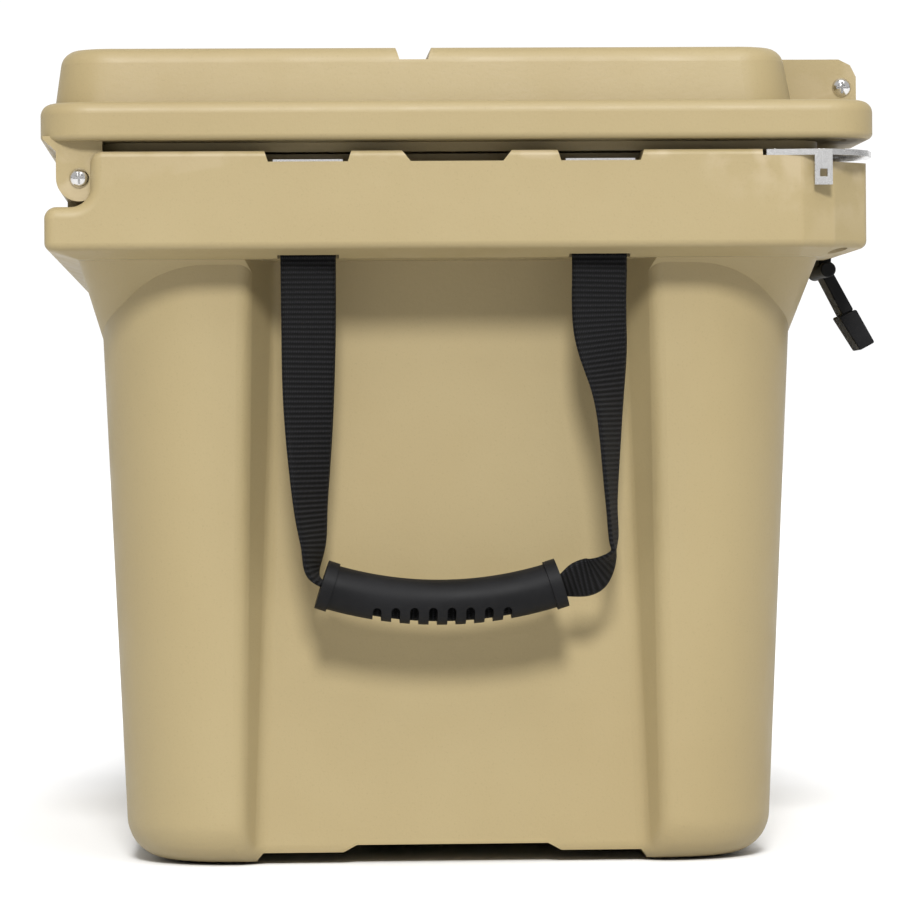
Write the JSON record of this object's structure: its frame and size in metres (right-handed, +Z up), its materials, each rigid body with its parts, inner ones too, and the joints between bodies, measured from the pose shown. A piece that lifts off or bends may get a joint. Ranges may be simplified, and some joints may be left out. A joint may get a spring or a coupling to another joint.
{
  "type": "cooler chest",
  "caption": "Insulated rotomoulded cooler chest with hinged lid, rubber pull-down latches, webbing carry handles with moulded grips, corner lock plates and a screw-in drain plug.",
  "frame": {"origin": "middle of the bottom of the bounding box, on the surface that the chest stands on", "axes": "+Z up, +X along the length towards the drain end, -Y towards the front with the latches, +Y towards the hinge"},
  "size_m": [0.66, 0.4314, 0.4152],
  "materials": {
    "tan_plastic": "fine rotomoulded grain, tan",
    "foam": "cream polyurethane foam",
    "black_rubber": "satin black rubber",
    "gasket_rubber": "soft black seal",
    "webbing": "ribbed black nylon webbing",
    "polished_steel": "polished stainless steel",
    "brushed_plate": "stainless plate",
    "black_plastic": "black moulded plastic"
  },
  "bodies": {
    "body": {"body_shell": "tan_plastic", "tub_liner": "tan_plastic", "body_foam": "foam", "hinge_pin_left": "polished_steel", "hinge_pin_right": "polished_steel", "lock_plate_left": "brushed_plate", "lock_plate_right": "brushed_plate", "lock_plate_screws_left": "polished_steel", "lock_plate_screws_right": "polished_steel", "handle_anchor_plates_left": "brushed_plate", "handle_anchor_plates_right": "brushed_plate", "handle_webbing_ends_left": "webbing", "handle_webbing_ends_right": "webbing", "foot_front_left": "black_rubber", "foot_front_right": "black_rubber", "foot_back_left": "black_rubber", "foot_back_right": "black_rubber", "drain_fitting": "black_plastic", "drain_inner_nut": "black_plastic"},
    "lid": {"lid_shell": "tan_plastic", "lid_foam": "foam", "lid_gasket": "gasket_rubber", "latch_bolt_left": "polished_steel", "latch_bolt_right": "polished_steel", "latch_nut_left": "polished_steel", "latch_nut_right": "polished_steel"},
    "latch_left": {"latch_strap_left": "black_rubber"},
    "latch_right": {"latch_strap_right": "black_rubber"},
    "handle_left": {"handle_strap_left": "webbing", "handle_grip_left": "black_rubber"},
    "handle_right": {"handle_strap_right": "webbing", "handle_grip_right": "black_rubber"},
    "drain_seal": {"drain_seal_ring": "gasket_rubber"},
    "drain_plug": {"drain_plug": "black_plastic"}
  },
  "joints": [
    {"name": "lid_hinge", "type": "hinge", "parent": "body", "child": "lid", "pos_m": [0, 0.19605, 0.3488], "axis": [-1, 0, 0], "range_deg": [0, 92]},
    {"name": "latch_left_swing", "type": "hinge", "parent": "lid", "child": "latch_left", "pos_m": [-0.22, -0.19475, 0.397], "axis": [-1, 0, 0], "range_deg": [0, 100]},
    {"name": "latch_right_swing", "type": "hinge", "parent": "lid", "child": "latch_right", "pos_m": [0.22, -0.19475, 0.397], "axis": [-1, 0, 0], "range_deg": [0, 100]},
    {"name": "handle_left_swing", "type": "hinge", "parent": "body", "child": "handle_left", "pos_m": [-0.311, 0.00925, 0.304], "axis": [0, 1, 0], "range_deg": [-7, 95]},
    {"name": "handle_right_swing", "type": "hinge", "parent": "body", "child": "handle_right", "pos_m": [0.311, 0.00925, 0.304], "axis": [0, -1, 0], "range_deg": [-7, 95]},
    {"name": "drain_plug_travel", "type": "slide", "parent": "body", "child": "drain_seal", "axis": [1, 0, 0], "range_m": [0, 0.012]},
    {"name": "drain_plug_turn", "type": "hinge", "parent": "drain_seal", "child": "drain_plug", "pos_m": [0.28, 0.00925, 0.074], "axis": [1, 0, 0], "range_deg": [0, 1080]}
  ],
  "couplings": [
    {"joint": "drain_plug_travel", "follows": "drain_plug_turn", "m_per_rad": 0.00063662}
  ]
}
